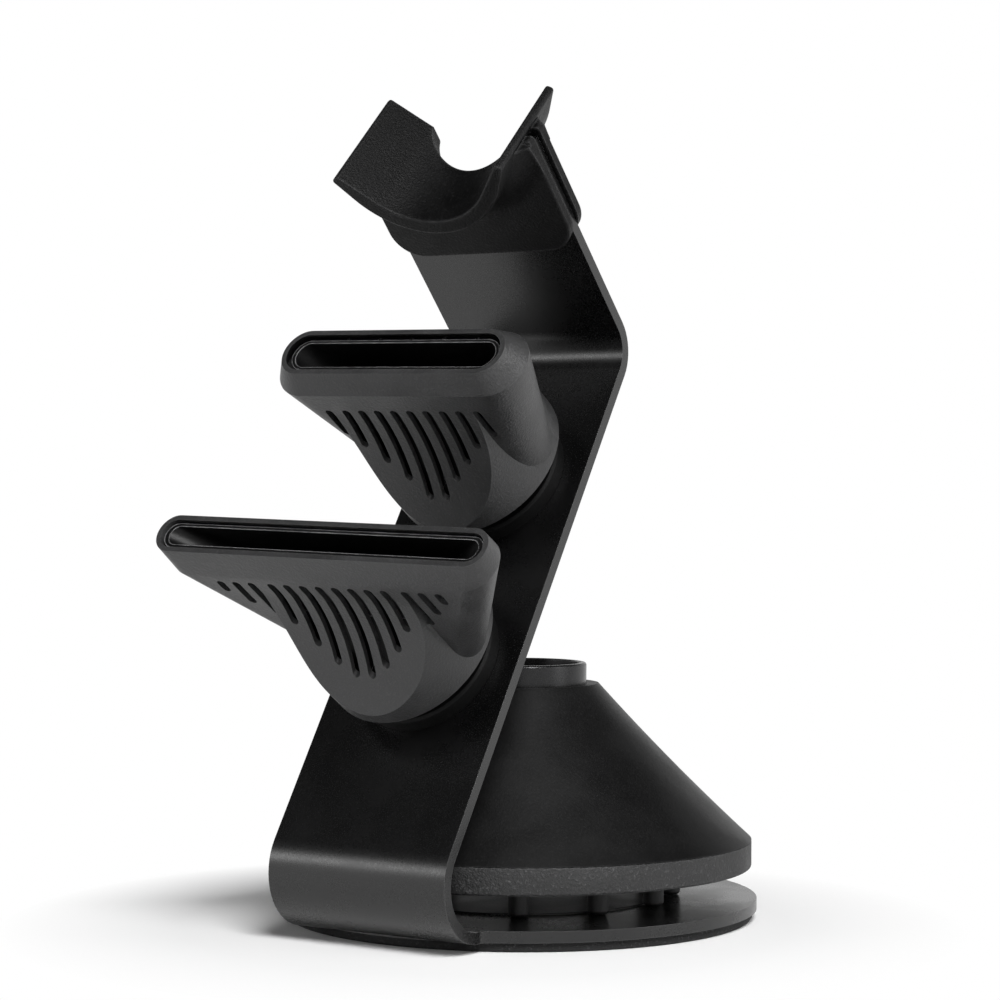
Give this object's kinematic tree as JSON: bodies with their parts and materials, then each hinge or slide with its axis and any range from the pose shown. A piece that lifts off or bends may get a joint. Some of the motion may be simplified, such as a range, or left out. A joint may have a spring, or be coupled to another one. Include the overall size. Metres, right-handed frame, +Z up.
{
  "type": "hair dryer stand",
  "caption": "Bent sheet stand with a round foot that holds a hair dryer in a rubber saddle, with lift-off concentrator nozzles on magnetic bosses and a diffuser behind.",
  "frame": {"origin": "middle of the foot's underside, on the floor", "axes": "+Z up, X across the strip, -Y to the front, where the nozzles point"},
  "size_m": [0.15, 0.1874, 0.2563],
  "materials": {
    "stand_coat": "satin black powder coat",
    "pad_rubber": "matt, fine grain",
    "disc_film": "satin",
    "saddle_rubber": "matt, moulded fine speckle",
    "boss_plastic": "matt",
    "magnet_metal": "satin nickel",
    "screw_steel": "black oxide",
    "cone_plastic": "matt, smooth",
    "band_plastic": "matt, coarse grain",
    "dish_plastic": "matt",
    "collar_metal": "dark anodised, satin",
    "latch_steel": "ground",
    "nozzle_plastic": "matt, fine grain",
    "duct_plastic": "matt"
  },
  "bodies": {
    "stand": {"stand_plate": "stand_coat", "base_pad": "pad_rubber", "locating_disc": "disc_film", "saddle": "saddle_rubber", "upper_boss": "boss_plastic", "lower_boss": "boss_plastic", "upper_magnet": "magnet_metal", "lower_magnet": "magnet_metal", "boss_screws": "screw_steel"},
    "narrow_collar": {"narrow_collar": "collar_metal", "narrow_latch_ring": "latch_steel"},
    "narrow_nozzle": {"narrow_shell": "nozzle_plastic", "narrow_duct": "duct_plastic"},
    "wide_collar": {"wide_collar": "collar_metal", "wide_latch_ring": "latch_steel"},
    "wide_nozzle": {"wide_shell": "nozzle_plastic", "wide_duct": "duct_plastic"},
    "diffuser": {"diffuser_cone": "cone_plastic", "diffuser_band": "band_plastic", "diffuser_dish": "dish_plastic", "diffuser_deflector": "dish_plastic", "diffuser_screws": "screw_steel", "diffuser_collar": "collar_metal", "diffuser_latch_ring": "latch_steel"}
  },
  "joints": [
    {"name": "narrow_pull", "type": "slide", "parent": "stand", "child": "narrow_collar", "axis": [0, -0.8339, 0.5519], "range_m": [0, 0.04]},
    {"name": "narrow_turn", "type": "hinge", "parent": "narrow_collar", "child": "narrow_nozzle", "pos_m": [0, -0.01494, 0.13769], "axis": [0, -0.8339, 0.5519], "range_deg": [-45, 45]},
    {"name": "wide_pull", "type": "slide", "parent": "stand", "child": "wide_collar", "axis": [0, -0.8339, 0.5519], "range_m": [0, 0.04]},
    {"name": "wide_turn", "type": "hinge", "parent": "wide_collar", "child": "wide_nozzle", "pos_m": [0, -0.05137, 0.08265], "axis": [0, -0.8339, 0.5519], "range_deg": [-45, 45]},
    {"name": "diffuser_pull", "type": "slide", "parent": "stand", "child": "diffuser", "axis": [0, 0.7071, 0.7071], "range_m": [0, 0.13]}
  ]
}
